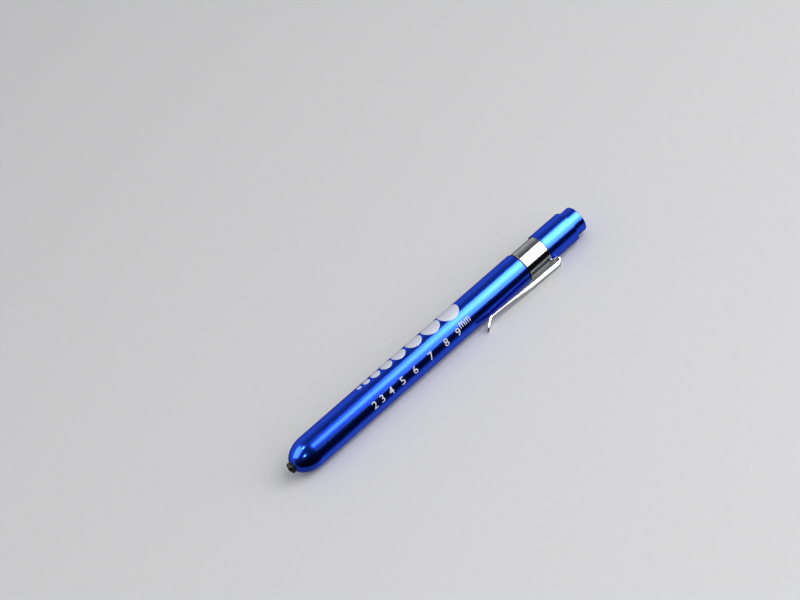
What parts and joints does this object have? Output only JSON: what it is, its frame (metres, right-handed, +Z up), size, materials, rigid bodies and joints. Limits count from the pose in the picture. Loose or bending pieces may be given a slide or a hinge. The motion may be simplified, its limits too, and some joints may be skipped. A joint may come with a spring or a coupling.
{
  "type": "penlight",
  "caption": "Aluminium medical penlight with a domed nose lamp, a pupil gauge along the barrel, a folded pocket clip on a band, and a push-button tail switch.",
  "frame": {"origin": "centre of the base of the object's box, on the surface the pen lies on", "axes": "+X along the pen from the lamp to the tail button, +Z up; the pen lies on the barrel's underside and the clip's lower edge"},
  "size_m": [0.1404, 0.0156, 0.0122],
  "materials": {
    "anodised_blue": "deep blue anodised, glossy",
    "anodised_blue_button": "deep blue anodised, slightly rubbed edge",
    "polished_clip": "bright nickel-plated spring steel",
    "black_plastic": "moulded black",
    "clear_epoxy": "clear lamp body",
    "tinned_wire": "tinned",
    "white_plastic": "moulded natural white",
    "brass": "pressed sheet",
    "spring_steel": "drawn wire",
    "cell_steel": "nickel-plated",
    "cell_mix": "pressed powder",
    "cell_jacket": "plain shrink film"
  },
  "bodies": {
    "barrel": {"barrel": "anodised_blue", "lamp_bush": "black_plastic", "led_lamp": "clear_epoxy", "led_leads": "tinned_wire", "lamp_holder": "white_plastic", "front_contact": "brass", "front_cell_can": "cell_steel", "front_cell_core": "cell_mix", "front_cell_seal": "black_plastic", "front_cell_negative_cap": "cell_steel", "front_cell_jacket": "cell_jacket", "rear_cell_can": "cell_steel", "rear_cell_core": "cell_mix", "rear_cell_seal": "black_plastic", "rear_cell_negative_cap": "cell_steel", "rear_cell_jacket": "cell_jacket"},
    "clip_ring": {"clip_ring": "polished_clip"},
    "clip_arm": {"clip_arm": "polished_clip"},
    "tail_cap": {"tail_cap": "anodised_blue", "switch_housing": "black_plastic", "fixed_contact": "brass", "battery_spring": "spring_steel", "body_contact_ring": "brass", "switch_retainer": "black_plastic", "return_spring": "spring_steel"},
    "push_button": {"push_button": "anodised_blue_button", "switch_plunger": "white_plastic", "moving_contact": "brass"},
    "latch_rotor": {"latch_rotor": "white_plastic"}
  },
  "joints": [
    {"name": "tail_lift", "type": "slide", "parent": "barrel", "child": "clip_ring", "axis": [1, 0, 0], "range_m": [0, 0.006]},
    {"name": "tail_turn", "type": "hinge", "parent": "clip_ring", "child": "tail_cap", "pos_m": [0.04072, 0.00168, 0.0061], "axis": [1, 0, 0], "range_deg": [0, 2160]},
    {"name": "clip_flex", "type": "hinge", "parent": "clip_ring", "child": "clip_arm", "pos_m": [0.0523, -0.00498, 0.00219], "axis": [0, -0.5058, 0.8626], "range_deg": [0, 5], "stiffness_Nm_per_rad": 1},
    {"name": "button_press", "type": "slide", "parent": "tail_cap", "child": "push_button", "axis": [-1, 0, 0], "range_m": [0, 0.0024], "stiffness_N_per_m": 1200, "springref_m": -0.0008, "deforming": ["return_spring"]},
    {"name": "latch_turn", "type": "hinge", "parent": "push_button", "child": "latch_rotor", "pos_m": [0.04897, 0.00168, 0.0061], "axis": [1, 0, 0], "range_deg": [0, 45]}
  ],
  "couplings": [
    {"joint": "tail_turn", "follows": "tail_lift", "rad_per_m": 6283},
    {"joint": "latch_turn", "follows": "button_press", "rad_per_m": 327}
  ]
}
